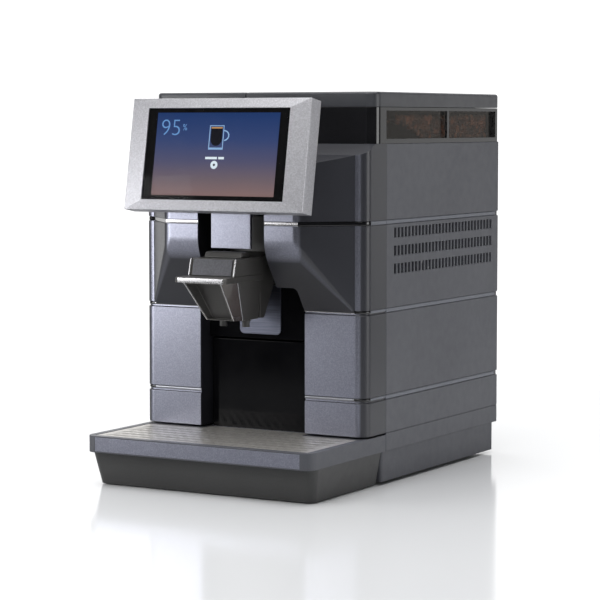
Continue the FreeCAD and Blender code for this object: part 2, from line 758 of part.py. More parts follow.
plate_z0 = frame_top - 8 - 26
carriage_plate = box(brew_x - 35, brew_x + 35, brew_y - 12, brew_y + 44, plate_z0, plate_z0 + 10)
piston_len = plate_z0 - (chamber_z1 - 12)
piston = rod(9, brew_x, brew_y, chamber_z1 - 12, piston_len)
piston_head = rod(20.4, brew_x, brew_y, chamber_z1 - 12, 10)
sleeves = [rod(4 + 0.08, brew_x + s * guide_x, brew_y + 12, plate_z0 - 1, 12) for s in (-1, 1)]
sleeves.append(rod(4 + 0.08, screw_x, screw_y, plate_z0 - 1, 12))
save("piston_carriage", without(joined([carriage_plate, piston, piston_head]), sleeves))
save("lead_screw", joined([rod(4, screw_x, screw_y, frame_z0 + 0.5, frame_top + 12 - frame_z0), rod(12, screw_x, screw_y, frame_top + 1, 9)]))

# ------------------------------------------------------------- water circuit
boiler_x = half - 36
boiler_y = seam_y + 60
boiler_top = shelf_z + 29.4
boiler_shell = rod(24, boiler_x, boiler_y, floor_z, boiler_top - floor_z)
save("boiler", joined([boiler_shell, rod(6, boiler_x, boiler_y, boiler_top, 10)]))
pump_y = rear - 110
pump_body = box(-40, 0, pump_y, pump_y + 46, floor_z, floor_z + 40)
pump_ends = [rod(9, 0, pump_y + 23, floor_z + 20, 18, "x"), rod(9, -54, pump_y + 23, floor_z + 20, 14, "x")]
save("pump", joined([pump_body] + pump_ends))

# ---------------------------------------------- mains inlet, switch and fan
inlet = box(inlet_x - 13.8, inlet_x + 13.8, rear - 22, rear, mains_z - 9.8, mains_z + 9.8)
flange = box(inlet_x - 17, inlet_x + 17, rear - 6, rear - skin, mains_z - 13, mains_z + 13)
socket = box(inlet_x - 11.5, inlet_x + 11.5, rear - 18, rear + 1, mains_z - 7.5, mains_z + 7.5)
pins = [box(inlet_x + dx - 1, inlet_x + dx + 1, rear - 18.5, rear - 4, mains_z + dz - 2, mains_z + dz + 2) for dx, dz in ((-7, -2), (7, -2), (0, 2))]

rocker_y = rear - 4
shell_box = box(switch_x - 6.5, switch_x + 6.5, rear - 22, rear, mains_z - 9.7, mains_z + 9.7)
shell_box = shell_box.cut(box(switch_x - 5, switch_x + 5, rear - 14, rear + 1, mains_z - 8.2, mains_z + 8.2))
switch_pin = rod(1.2, switch_x - 5.2, rocker_y, mains_z, 10.4, "x")
bridge = box(switch_x - 9, inlet_x - 11.6, rear - 6, rear - skin, mains_z - 13, mains_z + 13)
bridge = bridge.cut(box(switch_x - 6.5, switch_x + 6.5, rear - 7, rear, mains_z - 9.7, mains_z + 9.7))
inlet_body = joined([inlet, flange]).cut(socket)
save("mains_inlet", joined([inlet_body, bridge, shell_box, switch_pin] + pins))
rocker = slab(
    [(rear - 6.5, mains_z - 7.2), (rear - 2.0, mains_z - 7.4), (rear - 0.6, mains_z), (rear - 2.0, mains_z + 7.4), (rear - 6.5, mains_z + 7.2)],
    "x",
    switch_x - 4.6,
    switch_x + 4.6,
)
save("switch_rocker", rocker.cut(rod(1.2 + 0.06, switch_x - 6, rocker_y, mains_z, 12, "x")))

fan_y = rear - skin - 12
fan_frame = without(box(fan_x - 30, fan_x + 30, fan_y - 8, fan_y + 12, fan_z - 30, fan_z + 30), [rod(27.5, fan_x, fan_y - 9, fan_z, 22, "y")])
spider = [box(fan_x - 28, fan_x + 28, fan_y + 9, fan_y + 12, fan_z - 2, fan_z + 2), box(fan_x - 2, fan_x + 2, fan_y + 9, fan_y + 12, fan_z - 28, fan_z + 28)]
axle = rod(2, fan_x, fan_y - 6, fan_z, 16, "y")
save("fan_frame", joined([fan_frame, axle] + spider))
rotor = [tube(9, 2 + 0.06, fan_x, fan_y - 7, fan_z, 14, "y")]
for i in range(7):
    blade = box(fan_x + 8, fan_x + 26, fan_y - 1, fan_y + 1, fan_z - 4.5, fan_z + 4.5)
    blade.rotate(V(fan_x, fan_y, fan_z), V(1, 0, 0), 35)
    blade.rotate(V(fan_x, fan_y, fan_z), V(0, 1, 0), 360.0 * i / 7)
    rotor.append(blade)
save("fan_rotor", joined(rotor).cut(rod(2 + 0.06, fan_x, fan_y - 20, fan_z, 40, "y")))
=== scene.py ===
import math
import random

import bpy
from mathutils import Euler, Matrix, Vector


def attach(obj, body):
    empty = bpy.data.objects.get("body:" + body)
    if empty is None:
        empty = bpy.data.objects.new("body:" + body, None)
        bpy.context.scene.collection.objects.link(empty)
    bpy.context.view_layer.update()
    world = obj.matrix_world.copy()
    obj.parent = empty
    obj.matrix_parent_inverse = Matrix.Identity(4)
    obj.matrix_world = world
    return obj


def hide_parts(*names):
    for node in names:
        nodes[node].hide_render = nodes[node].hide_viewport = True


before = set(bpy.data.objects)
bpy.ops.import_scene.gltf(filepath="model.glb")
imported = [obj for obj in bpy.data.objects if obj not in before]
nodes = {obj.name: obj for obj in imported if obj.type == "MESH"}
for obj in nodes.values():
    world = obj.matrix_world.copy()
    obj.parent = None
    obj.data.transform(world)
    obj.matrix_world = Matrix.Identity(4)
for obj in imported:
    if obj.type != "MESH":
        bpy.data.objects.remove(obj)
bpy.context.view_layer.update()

# ---------------------------------------------------------------- camera
# A long lens a little above the top of the machine, turned to its right front
# corner, so that the front and the right side both show.
camera_data = bpy.data.cameras.new("camera")
camera_data.lens = 133.53
camera_data.sensor_width = 36.0
camera = bpy.data.objects.new("camera", camera_data)
camera.location = (1.29284, -2.24394, 0.40545)
camera.rotation_euler = (math.radians(90.0 - 4.5917), 0.0, 0.52305)
bpy.context.scene.collection.objects.link(camera)
bpy.context.scene.camera = camera

# ---------------------------------------------------------- floor and light
# A polished white table with soft boxes round it, in a pale room.
bpy.ops.object.select_all(action="DESELECT")
bpy.ops.mesh.primitive_circle_add(vertices=96, radius=1.6, fill_type="NGON", location=(0, 0, 0))
floor = bpy.context.active_object
floor.name = "floor"


def shader(name):
    """A new material with its Principled shader, and a function that adds linked nodes to it."""
    material = bpy.data.materials.new(name)
    material.use_nodes = True
    tree = material.node_tree
    surface = tree.nodes["Principled BSDF"]

    def node(kind, links=(), **values):
        made = tree.nodes.new("ShaderNode" + kind)
        for key, value in values.items():
            if key.startswith("in_"):
                made.inputs[int(key[3:])].default_value = value
            else:
                setattr(made, key, value)
        for slot, source in links:
            tree.links.new(source, made.inputs[slot])
        return made

    def join(source, socket):
        tree.links.new(source, surface.inputs[socket])

    return material, surface, node, join


floor_paint, surface, node, join = shader("white_table")
spot = node("TexCoord").outputs["Object"]
cloud = node("TexNoise", [("Vector", spot)], in_2=1.5, in_3=3.0)
tint = node("ValToRGB", [("Fac", cloud.outputs["Fac"])])
tint.color_ramp.elements[0].color = (0.86, 0.87, 0.89, 1)
tint.color_ramp.elements[1].color = (0.89, 0.90, 0.91, 1)
join(tint.outputs["Color"], "Base Color")
polish = node("MapRange", [("Value", cloud.outputs["Fac"])], in_3=0.10, in_4=0.16)
join(polish.outputs[0], "Roughness")
reach = node("VectorMath", [("Vector", spot)], operation="LENGTH")
fade = node("MapRange", [("Value", reach.outputs["Value"])], interpolation_type="SMOOTHSTEP", in_1=0.75,
            in_2=1.45)
air = node("BsdfTransparent")
bounce = node("BsdfDiffuse")
# Painted shade: light that the table sends to anything but the camera comes off a diffuse floor, darkened
# where x is below 0.32 m.
across = node("SeparateXYZ", [(0, spot)])
shade = node("MapRange", [("Value", across.outputs["X"])], in_1=0.12, in_2=0.32, in_3=0.62, in_4=0.0)
dimmed = node("Mix", [(0, shade.outputs[0]), (6, tint.outputs["Color"])], data_type="RGBA")
dimmed.inputs[7].default_value = (0.02, 0.02, 0.02, 1)
floor_tree = floor_paint.node_tree
floor_tree.links.new(dimmed.outputs[2], bounce.inputs["Color"])
sight = node("LightPath")
seen_top = node("MixShader",
                [(0, sight.outputs["Is Camera Ray"]), (1, bounce.outputs[0]), (2, surface.outputs[0])])
edge_mix = node("MixShader", [(0, fade.outputs[0]), (1, seen_top.outputs[0]), (2, air.outputs[0])])
floor_tree.links.new(edge_mix.outputs[0], floor_tree.nodes["Material Output"].inputs["Surface"])
floor.data.materials.append(floor_paint)


lamp_target = Vector((0, 0, 0.22))


def soft_box(name, azimuth, elevation, distance, wide, tall, power, roll=0.0):
    """A rectangular lamp on a circle round the machine, facing a point on it."""
    lamp_data = bpy.data.lights.new(name, "AREA")
    lamp_data.shape = "RECTANGLE"
    lamp_data.size = wide
    lamp_data.size_y = tall
    lamp_data.energy = power
    lamp = bpy.data.objects.new(name, lamp_data)
    a, e = math.radians(azimuth), math.radians(elevation)
    out = Vector((math.sin(a) * math.cos(e), -math.cos(a) * math.cos(e), math.sin(e)))
    lamp.location = lamp_target + out * distance
    face_in = (-out).to_track_quat("-Z", "Y")
    lamp.rotation_euler = (face_in @ Euler((0, 0, math.radians(roll))).to_quaternion()).to_euler()
    bpy.context.scene.collection.objects.link(lamp)
    return lamp


soft_box("front_box", -44, 4.6, 1.15, 0.70, 0.42, 4.6, roll=16)
soft_box("high_box", -6, 40, 2.2, 1.0, 0.5, 12)
soft_box("right_box", 100, 2, 2.6, 1.2, 0.8, 11)
soft_box("rear_right_box", 148, 3, 2.8, 1.5, 0.9, 3.0)
soft_box("over_box", 33, 22, 2.6, 0.9, 0.5, 5)
soft_box("top_box", 0, 88, 2.2, 2.6, 2.6, 70)
world = bpy.data.worlds.new("room")
bpy.context.scene.world = world
world.use_nodes = True
air = world.node_tree
backdrop = air.nodes["Background"]
backdrop.inputs["Color"].default_value = (1, 1, 1, 1)
way = air.nodes.new("ShaderNodeTexCoord")
along = air.nodes.new("ShaderNodeVectorMath")
along.operation = "DOT_PRODUCT"
along.inputs[1].default_value = (-0.5, 0.866, 0.0)
air.links.new(way.outputs["Generated"], along.inputs[0])
glow = air.nodes.new("ShaderNodeMapRange")
glow.interpolation_type = "SMOOTHSTEP"
glow.inputs["From Min"].default_value = 0.55
glow.inputs["From Max"].default_value = 0.9
glow.inputs["To Min"].default_value = 0.04
glow.inputs["To Max"].default_value = 1.2
air.links.new(along.outputs["Value"], glow.inputs["Value"])
seen = air.nodes.new("ShaderNodeLightPath")
level = air.nodes.new("ShaderNodeMath")
level.operation = "MAXIMUM"
air.links.new(seen.outputs["Is Camera Ray"], level.inputs[0])
air.links.new(glow.outputs[0], level.inputs[1])
air.links.new(level.outputs[0], backdrop.inputs["Strength"])
bpy.context.scene.view_settings.view_transform = "Standard"


# ------------------------------------------------------------ base and feet
# The bottom of the cabinet is an injection-moulded tub with a deeper band screwed
# round it. Four turned rubber feet are pressed into its underside.
def only(piece):
    bpy.ops.object.select_all(action="DESELECT")
    piece.select_set(True)
    bpy.context.view_layer.objects.active = piece


def eased(name, node_name, body, width, finish, sharp=28.0, smooth=50.0, rounds=None):
    """A packed shell with its mould edges rounded; the rounded faces carry the attribute edge."""
    source = nodes[node_name]
    piece = source.copy()
    piece.data = source.data.copy()
    piece.name = name
    piece.data.name = name
    for key in [k for k in piece.keys() if k.startswith("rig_")]:
        del piece[key]
    piece.parent = None
    bpy.context.scene.collection.objects.link(piece)
    only(piece)
    bpy.ops.object.mode_set(mode="EDIT")
    bpy.ops.mesh.select_all(action="SELECT")
    bpy.ops.mesh.customdata_custom_splitnormals_clear()
    bpy.ops.mesh.remove_doubles(threshold=2e-5)
    bpy.ops.mesh.dissolve_limited(angle_limit=math.radians(0.3))
    bpy.ops.mesh.select_mode(type="EDGE")
    if rounds:
        bpy.ops.object.mode_set(mode="OBJECT")
        rounds(piece)
        only(piece)
        bpy.ops.object.mode_set(mode="EDIT")
    bpy.ops.mesh.select_all(action="DESELECT")
    if width:
        bpy.ops.mesh.edges_select_sharp(sharpness=math.radians(sharp))
        bpy.ops.mesh.bevel(offset=width, segments=2, affect="EDGES", clamp_overlap=True, material=1)
    bpy.ops.object.mode_set(mode="OBJECT")
    mark_edges(piece)
    even_normals(piece, smooth)
    dress(piece, finish)
    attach(piece, body)
    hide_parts(node_name)
    return piece


def mark_edges(piece):
    """Turns the second material index that a bevel left into the face attribute edge."""
    mesh = piece.data
    mark = mesh.attributes.new("edge", "FLOAT", "FACE")
    mark.data.foreach_set("value", [1.0 if f.material_index == 1 else 0.0 for f in mesh.polygons])
    mesh.polygons.foreach_set("material_index", [0] * len(mesh.polygons))
    mesh.update()


def even_normals(piece, angle):
    only(piece)
    bpy.ops.object.shade_smooth_by_angle(angle=math.radians(angle))
    even = piece.modifiers.new("even", "WEIGHTED_NORMAL")
    even.keep_sharp = True
    bpy.ops.object.modifier_apply(modifier=even.name)


def dress(piece, finish):
    piece.data.materials.clear()
    piece.data.materials.append(finish)


def on_node(finish, *names):
    """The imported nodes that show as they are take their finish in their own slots."""
    for name in names:
        dress(nodes[name], finish)


def moulded(name, dark, light, rough, relief=0.06, pitch=0.0011, edge_wear_and_highlight=0.35, metallic=0.0, specular=0.5):
    """Spark-grained plastic: slow colour drift, fine grain, and rounded edges painted lighter, partly as
    rubbed wear and partly as painted highlight.
    """
    material, surface, node, join = shader(name)
    surface.inputs["Metallic"].default_value = metallic
    surface.inputs["Specular IOR Level"].default_value = specular
    spot = node("TexCoord").outputs["Object"]
    drift = node("TexNoise", [("Vector", spot)], in_2=7.0, in_3=3.0)
    tint = node("ValToRGB", [("Fac", drift.outputs["Fac"])])
    tint.color_ramp.elements[0].position = 0.3
    tint.color_ramp.elements[0].color = (*dark, 1)
    tint.color_ramp.elements[1].position = 0.7
    tint.color_ramp.elements[1].color = (*light, 1)
    grain = node("TexNoise", [("Vector", spot)], in_2=1 / pitch, in_3=2.0)
    rounded_faces = node("Attribute", attribute_name="edge")
    patch = node("TexNoise", [("Vector", spot)], in_2=90.0, in_3=4.0)
    # Rounded edges painted lighter: partly rubbed wear, partly painted highlight.
    wear_and_highlight = node("Math", [(0, rounded_faces.outputs["Fac"]), (1, patch.outputs["Fac"])], operation="MULTIPLY")
    wear_and_highlight_colour = tuple(min(1.0, c * (1 + 1.6 * edge_wear_and_highlight) + 0.02 * edge_wear_and_highlight) for c in light)
    fleck = node("Mix", [("Factor", grain.outputs["Fac"]), (6, tint.outputs["Color"])], data_type="RGBA")
    fleck.inputs[7].default_value = (*[0.82 * c for c in dark], 1)
    soft = node("MapRange", [("Value", grain.outputs["Fac"])], in_1=0.35, in_2=0.75, in_3=0.0, in_4=0.5)
    node_link(material, soft.outputs[0], fleck.inputs["Factor"])
    shown = node("Mix", [("Factor", wear_and_highlight.outputs[0]), (6, fleck.outputs[2])], data_type="RGBA")
    shown.inputs[7].default_value = (*wear_and_highlight_colour, 1)
    join(shown.outputs[2], "Base Color")
    haze = node("MapRange", [("Value", patch.outputs["Fac"])], in_1=0.3, in_2=0.7, in_3=rough - 0.05,
                in_4=rough + 0.06)
    polish = node("Math", [(0, rounded_faces.outputs["Fac"]), (2, haze.outputs[0])], operation="MULTIPLY_ADD",
                  in_1=-0.08)
    join(polish.outputs[0], "Roughness")
    bump = node("Bump", [("Height", grain.outputs["Fac"])], in_0=relief, in_1=0.0004)
    join(bump.outputs["Normal"], "Normal")
    return material


def node_link(material, source, target):
    for old in list(target.links):
        material.node_tree.links.remove(old)
    material.node_tree.links.new(source, target)


charcoal = moulded("charcoal_shell", (0.082, 0.085, 0.100), (0.100, 0.104, 0.120), 0.44, 0.10)
eased("base_tub", "base_pan", "cabinet", 0.0012, charcoal)
eased("base_band", "base_frame", "cabinet", 0.0008, charcoal)

rubber = moulded("foot_rubber", (0.016, 0.016, 0.016), (0.028, 0.028, 0.027), 0.72, 0.25, 0.0018, 0.2)
on_node(rubber, "feet")

# -------------------------------------------------------- chassis sheet metal
# Folded and spot-welded steel with a zinc coat whose crystals show as patches.
def plated(name):
    material, surface, node, join = shader(name)
    surface.inputs["Metallic"].default_value = 1.0
    spot = node("TexCoord").outputs["Object"]
    crystal = node("TexVoronoi", [("Vector", spot)], in_2=160.0)
    tint = node("ValToRGB", [("Fac", crystal.outputs["Color"])])
    tint.color_ramp.elements[0].color = (0.36, 0.37, 0.38, 1)
    tint.color_ramp.elements[1].color = (0.56, 0.57, 0.58, 1)
    join(tint.outputs["Color"], "Base Color")
    haze = node("TexNoise", [("Vector", spot)], in_2=40.0, in_3=4.0)
    rough = node("MapRange", [("Value", haze.outputs["Fac"])], in_3=0.28, in_4=0.52)
    join(rough.outputs[0], "Roughness")
    bump = node("Bump", [("Height", haze.outputs["Fac"])], in_0=0.05, in_1=0.001)
    join(bump.outputs["Normal"], "Normal")
    return material


on_node(plated("zinc_sheet"), "chassis_floor", "corner_posts", "container_walls", "shelf")


# ------------------------------------------------------------ boiler and pump
# The boiler is a drawn stainless can, satin from drawing. The pump is a coil in
# black lacquer between two moulded ends.
def brushed(name, dark, light, rough, stretch, relief=0.08, metallic=1.0):
    """Metal with fine lines; stretch is how many lines a metre there are along x, y and z."""
    material, surface, node, join = shader(name)
    surface.inputs["Metallic"].default_value = metallic
    spot = node("TexCoord").outputs["Object"]
    sized = node("Mapping", [("Vector", spot)])
    sized.inputs["Scale"].default_value = stretch
    lines = node("TexNoise", [("Vector", sized.outputs[0])], in_2=1.0, in_3=5.0)
    tint = node("ValToRGB", [("Fac", lines.outputs["Fac"])])
    tint.color_ramp.elements[0].position = 0.3
    tint.color_ramp.elements[0].color = (*dark, 1)
    tint.color_ramp.elements[1].position = 0.7
    tint.color_ramp.elements[1].color = (*light, 1)
    cloud = node("TexNoise", [("Vector", spot)], in_2=22.0, in_3=3.0)
    shown = node("Mix", [("Factor", cloud.outputs["Fac"]), (6, tint.outputs["Color"])], data_type="RGBA",
                 blend_type="MULTIPLY")
    shown.inputs[7].default_value = (0.86, 0.85, 0.84, 1)
    join(shown.outputs[2], "Base Color")
    haze = node("MapRange", [("Value", lines.outputs["Fac"])], in_3=rough - 0.07, in_4=rough + 0.08)
    join(haze.outputs[0], "Roughness")
    bump = node("Bump", [("Height", lines.outputs["Fac"])], in_0=relief, in_1=0.0003)
    join(bump.outputs["Normal"], "Normal")
    return material


on_node(brushed("drawn_steel", (0.42, 0.42, 0.42), (0.62, 0.61, 0.60), 0.32, (300, 300, 12)), "boiler")
on_node(moulded("coil_lacquer", (0.045, 0.045, 0.05), (0.07, 0.07, 0.075), 0.35, 0.08, 0.002, 0.6), "pump")

# ---------------------------------------------------------------- brew unit
# A white acetal frame and piston carriage, a turned brass chamber and a ground
# steel lead screw with a toothed wheel on top.
acetal = moulded("white_acetal", (0.66, 0.66, 0.63), (0.76, 0.76, 0.74), 0.45, 0.08, 0.0016, 0.1)
on_node(acetal, "brew_frame", "piston_carriage")
on_node(brushed("turned_brass", (0.52, 0.38, 0.18), (0.74, 0.56, 0.30), 0.26, (25, 25, 1500)),
        "brew_chamber")
ground_steel = brushed("ground_steel", (0.50, 0.50, 0.50), (0.70, 0.70, 0.70), 0.18, (1400, 1400, 1400))
on_node(ground_steel, "lead_screw", "hopper_lid_pin", "tank_lid_pin")

# ------------------------------------------------------------------ grinder
# A cast alloy body on a lacquered motor, with two hardened steel burrs.
alloy = moulded("cast_alloy", (0.34, 0.34, 0.35), (0.46, 0.46, 0.47), 0.5, 0.5, 0.0025, 0.3, 0.95)
on_node(alloy, "grinder_housing")
on_node(brushed("hardened_burr", (0.28, 0.28, 0.29), (0.46, 0.46, 0.47), 0.3, (900, 900, 60), 0.2),
        "upper_burr", "lower_burr")
on_node(moulded("motor_lacquer", (0.02, 0.02, 0.022), (0.035, 0.035, 0.037), 0.3, 0.08, 0.002, 0.5),
        "grinder_motor")

# ------------------------------------------------------ side and rear panels
# Three flat mouldings clipped to the chassis. The sides carry three rows of
# upright slots for the fan's air, and shallow lines that run on from the front.
for side in ("left", "right"):
    eased("side_shell_" + side, "side_panel_" + side, "cabinet", 0.0007, charcoal)
eased("rear_shell", "rear_panel", "cabinet", 0.0006, charcoal)

# -------------------------------------------------- fan, mains inlet, switch
# An axial fan behind the rear slots; a moulded inlet with three plated pins and
# a red rocker beside it.
black_nylon = moulded("black_nylon", (0.018, 0.018, 0.020), (0.030, 0.030, 0.033), 0.42, 0.12, 0.0014, 0.5)
on_node(black_nylon, "fan_frame", "fan_rotor", "mains_inlet")
rocker_red = moulded("rocker_red", (0.34, 0.012, 0.012), (0.44, 0.020, 0.018), 0.22, 0.03, 0.0016, 0.2)
eased("rocker_cap", "switch_rocker", "rocker", 0.0004, rocker_red)


# ---------------------------------------------------------- metallic front
# The upper front and the two pillar covers are moulded in a blue-grey plastic
# with metal flake in it. Only their faces that look straight ahead show the flake;
# the faces turned aside are painted dark as painted shade.
def flaked(name, low, high, rough=0.40, flake=0.0012, metallic=0.75, edge_wear_and_highlight=0.25, relief=0.10,
           side_shade=None):
    """Flake paint: each small cell has a brightness of its own, and leans a little its own way.
    With a side shade colour, only the faces that look straight ahead carry flake; the rest is
    painted that dark colour as painted shade. Rounded edges are painted lighter, partly as wear
    and partly as painted highlight."""
    material, surface, node, join = shader(name)
    surface.inputs["Metallic"].default_value = metallic
    spot = node("TexCoord").outputs["Object"]
    cells = node("TexVoronoi", [("Vector", spot)], in_2=1 / flake)
    mixed = node("TexNoise", [("Vector", spot)], in_2=0.6 / flake, in_3=3.0)
    sparkle = node("Math", [(0, cells.outputs["Color"]), (1, mixed.outputs["Fac"])], operation="MULTIPLY")
    tint = node("ValToRGB", [("Fac", sparkle.outputs[0])])
    tint.color_ramp.elements[0].position = 0.08
    tint.color_ramp.elements[0].color = (*low, 1)
    tint.color_ramp.elements[1].position = 0.46
    tint.color_ramp.elements[1].color = (*high, 1)
    drift = node("TexNoise", [("Vector", spot)], in_2=6.0, in_3=2.0)
    calm = node("Mix", [("Factor", drift.outputs["Fac"]), (6, tint.outputs["Color"])], data_type="RGBA",
                blend_type="MULTIPLY")
    calm.inputs[7].default_value = (0.90, 0.91, 0.94, 1)
    rounded_faces = node("Attribute", attribute_name="edge")
    # Rounded edges painted lighter: partly wear, partly painted highlight.
    wear_and_highlight = node("Math", [(0, rounded_faces.outputs["Fac"])], operation="MULTIPLY", in_1=edge_wear_and_highlight)
    shown = node("Mix", [("Factor", wear_and_highlight.outputs[0]), (6, calm.outputs[2])], data_type="RGBA")
    shown.inputs[7].default_value = (*[min(1.0, 1.5 * c) for c in high], 1)
    shown_colour = shown
    # Painted shade: faces that don't look straight ahead get a dark plain colour in place of the flake.
    if side_shade:
        facing = node("SeparateXYZ", [(0, node("NewGeometry").outputs["Normal"])])
        side_shade_mask = node("MapRange", [("Value", facing.outputs["Y"])], interpolation_type="SMOOTHSTEP",
                     in_1=-0.99, in_2=-0.84, in_3=0.0, in_4=1.0)
        painted_side_shade = node("Mix", [(0, mixed.outputs["Fac"])], data_type="RGBA")
        painted_side_shade.inputs[6].default_value = (*[0.85 * c for c in side_shade], 1)
        painted_side_shade.inputs[7].default_value = (*[1.1 * c for c in side_shade], 1)
        shown_colour = node("Mix", [(0, side_shade_mask.outputs[0]), (6, shown.outputs[2]), (7, painted_side_shade.outputs[2])],
                        data_type="RGBA")
        metal = node("MapRange", [("Value", side_shade_mask.outputs[0])], in_3=metallic, in_4=0.0)
        join(metal.outputs[0], "Metallic")
    join(shown_colour.outputs[2], "Base Color")
    haze = node("MapRange", [("Value", mixed.outputs["Fac"])], in_1=0.3, in_2=0.7, in_3=rough - 0.05,
                in_4=rough + 0.06)
    join(haze.outputs[0], "Roughness")
    bump = node("Bump", [("Height", cells.outputs["Color"])], in_0=relief, in_1=0.0002)
    join(bump.outputs["Normal"], "Normal")
    return material


front_paint = flaked("front_flake", (0.27, 0.275, 0.33), (0.35, 0.36, 0.43), 0.33, 0.0010, 0.88,
                     relief=0.02)
# On the upper front and the pillar covers: painted shade on every face that doesn't look straight ahead.
flake_with_painted_shade = flaked("front_flake_painted_shade", (0.27, 0.275, 0.33), (0.35, 0.36, 0.43), 0.33, 0.0010, 0.88,
                     relief=0.02, side_shade=(0.034, 0.035, 0.043))
face_y = -0.1554
face_half = 0.0856
face_low = 0.2617
pillar_y = -0.110
facet_drop = (0.2617 - 0.1957) / (0.1554 - 0.110)
facet_spread = (0.1318 - 0.0856) / (0.1554 - 0.110)


def soft_face(piece):
    """Big blends where the upright face turns under and into its side facets."""
    mesh = piece.data
    weight = mesh.attributes.new("bevel_weight_edge", "FLOAT", "EDGE")

    def near(a, b):
        return abs(a - b) < 2e-4

    for edge in mesh.edges:
        ends = [mesh.vertices[i].co for i in edge.vertices]
        share = 0.0
        if all(near(p.y, face_y) and near(p.z, face_low) for p in ends):
            share = 1.0
        elif all(near(p.y, face_y) and near(abs(p.x), face_half) for p in ends):
            share = 0.45
        elif all(near(abs(p.x), face_half + (p.y - face_y) * facet_spread)
                 and near(p.z, face_low - (p.y - face_y) * facet_drop) for p in ends):
            share = 0.6
        weight.data[edge.index].value = share
    only(piece)
    blend = piece.modifiers.new("blend", "BEVEL")
    blend.limit_method = "WEIGHT"
    blend.width = 0.015
    blend.segments = 6
    blend.use_clamp_overlap = False
    bpy.ops.object.modifier_apply(modifier=blend.name)


eased("upper_front", "upper_front_cover", "cabinet", 0.0008, flake_with_painted_shade,
      rounds=soft_face)
for side in ("left", "right"):
    eased("pillar_" + side, "pillar_cover_" + side, "cabinet", 0.0012, flake_with_painted_shade)
eased("centre_strip", "guide_strip", "cabinet", 0.0008, front_paint)

# -------------------------------------------------------------- cup bay lining
# Black mouldings behind and above the cup, and a pressed steel splash plate.
liner_black = moulded("liner_black", (0.010, 0.010, 0.011), (0.018, 0.018, 0.020), 0.38, 0.10, 0.0012, 0.6)
eased("bay_roof", "bay_liner", "cabinet", 0.0006, liner_black)
eased("slot_channel", "slot_liner", "cabinet", 0.0006, liner_black)


def glossy(name, dark, light, rough, coat=0.2):
    """Polished plastic with faint smears and dust. Its rounded edges are painted lighter, partly as wear
    and partly as painted highlight.
    """
    material, surface, node, join = shader(name)
    surface.inputs["Coat Weight"].default_value = coat
    surface.inputs["Coat Roughness"].default_value = 0.04
    spot = node("TexCoord").outputs["Object"]
    cloud = node("TexNoise", [("Vector", spot)], in_2=14.0, in_3=4.0)
    tint = node("ValToRGB", [("Fac", cloud.outputs["Fac"])])
    tint.color_ramp.elements[0].position = 0.3
    tint.color_ramp.elements[0].color = (*dark, 1)
    tint.color_ramp.elements[1].position = 0.75
    tint.color_ramp.elements[1].color = (*light, 1)
    rounded_faces = node("Attribute", attribute_name="edge")
    # Rounded edges painted lighter: partly wear, partly painted highlight.
    wear_and_highlight = node("Math", [(0, rounded_faces.outputs["Fac"])], operation="MULTIPLY", in_1=0.5)
    shown = node("Mix", [("Factor", wear_and_highlight.outputs[0]), (6, tint.outputs["Color"])], data_type="RGBA")
    shown.inputs[7].default_value = (*[min(1.0, 0.03 + 2 * c) for c in light], 1)
    join(shown.outputs[2], "Base Color")
    smear = node("TexNoise", [("Vector", spot)], in_2=55.0, in_3=6.0)
    haze = node("MapRange", [("Value", smear.outputs["Fac"])], in_1=0.35, in_2=0.8, in_3=rough,
                in_4=rough + 0.10)
    join(haze.outputs[0], "Roughness")
    bump = node("Bump", [("Height", cloud.outputs["Fac"])], in_0=0.02, in_1=0.002)
    join(bump.outputs["Normal"], "Normal")
    return material


piano_black = glossy("piano_black", (0.006, 0.006, 0.007), (0.012, 0.012, 0.014), 0.05)
bay_gloss = glossy("bay_gloss", (0.003, 0.003, 0.004), (0.006, 0.006, 0.007), 0.06, 0.0)
bay_gloss.node_tree.nodes["Principled BSDF"].inputs["Specular IOR Level"].default_value = 0.12
eased("bay_back", "bay_back_panel", "cabinet", 0.0006, bay_gloss)
eased("grounds_bin", "grounds_container", "tray", 0.0009, bay_gloss)
splash_steel = brushed("splash_steel", (0.13, 0.14, 0.18), (0.20, 0.21, 0.27), 0.32, (30, 30, 900))
eased("splash_sheet", "splash_plate", "cabinet", 0.0005, splash_steel)

# --------------------------------------------------------- collar and windows
# A polished black band under the lids, with two smoked panes on each side.
eased("top_band", "top_collar", "cabinet", 0.0006, piano_black)


def see_through(name, clear, mirror_rough, haze_share, body=(0.02, 0.02, 0.02), most=1.0):
    """Clear or smoked plastic: it passes light by its tint and mirrors more at a glance."""
    material, surface, node, join = shader(name)
    tree = material.node_tree
    surface.inputs["Coat Weight"].default_value = 1.0
    surface.inputs["Coat Roughness"].default_value = 0.02
    spot = node("TexCoord").outputs["Object"]
    dust = node("TexNoise", [("Vector", spot)], in_2=70.0, in_3=6.0)
    tint = node("ValToRGB", [("Fac", dust.outputs["Fac"])])
    tint.color_ramp.elements[0].color = (*body, 1)
    tint.color_ramp.elements[1].color = (*[min(1.0, 0.02 + 1.6 * c) for c in body], 1)
    join(tint.outputs["Color"], "Base Color")
    rough = node("MapRange", [("Value", dust.outputs["Fac"])], in_3=mirror_rough, in_4=mirror_rough + 0.12)
    join(rough.outputs[0], "Roughness")
    pane = node("BsdfTransparent")
    pane.inputs["Color"].default_value = (*clear, 1)
    glance = node("LayerWeight", in_0=0.35)
    share = node("MapRange", [("Value", glance.outputs["Fresnel"])], in_3=haze_share, in_4=most)
    mix = node("MixShader", [(0, share.outputs[0]), (1, pane.outputs[0]), (2, surface.outputs[0])])
    out = tree.nodes["Material Output"]
    tree.links.new(mix.outputs[0], out.inputs["Surface"])
    return material


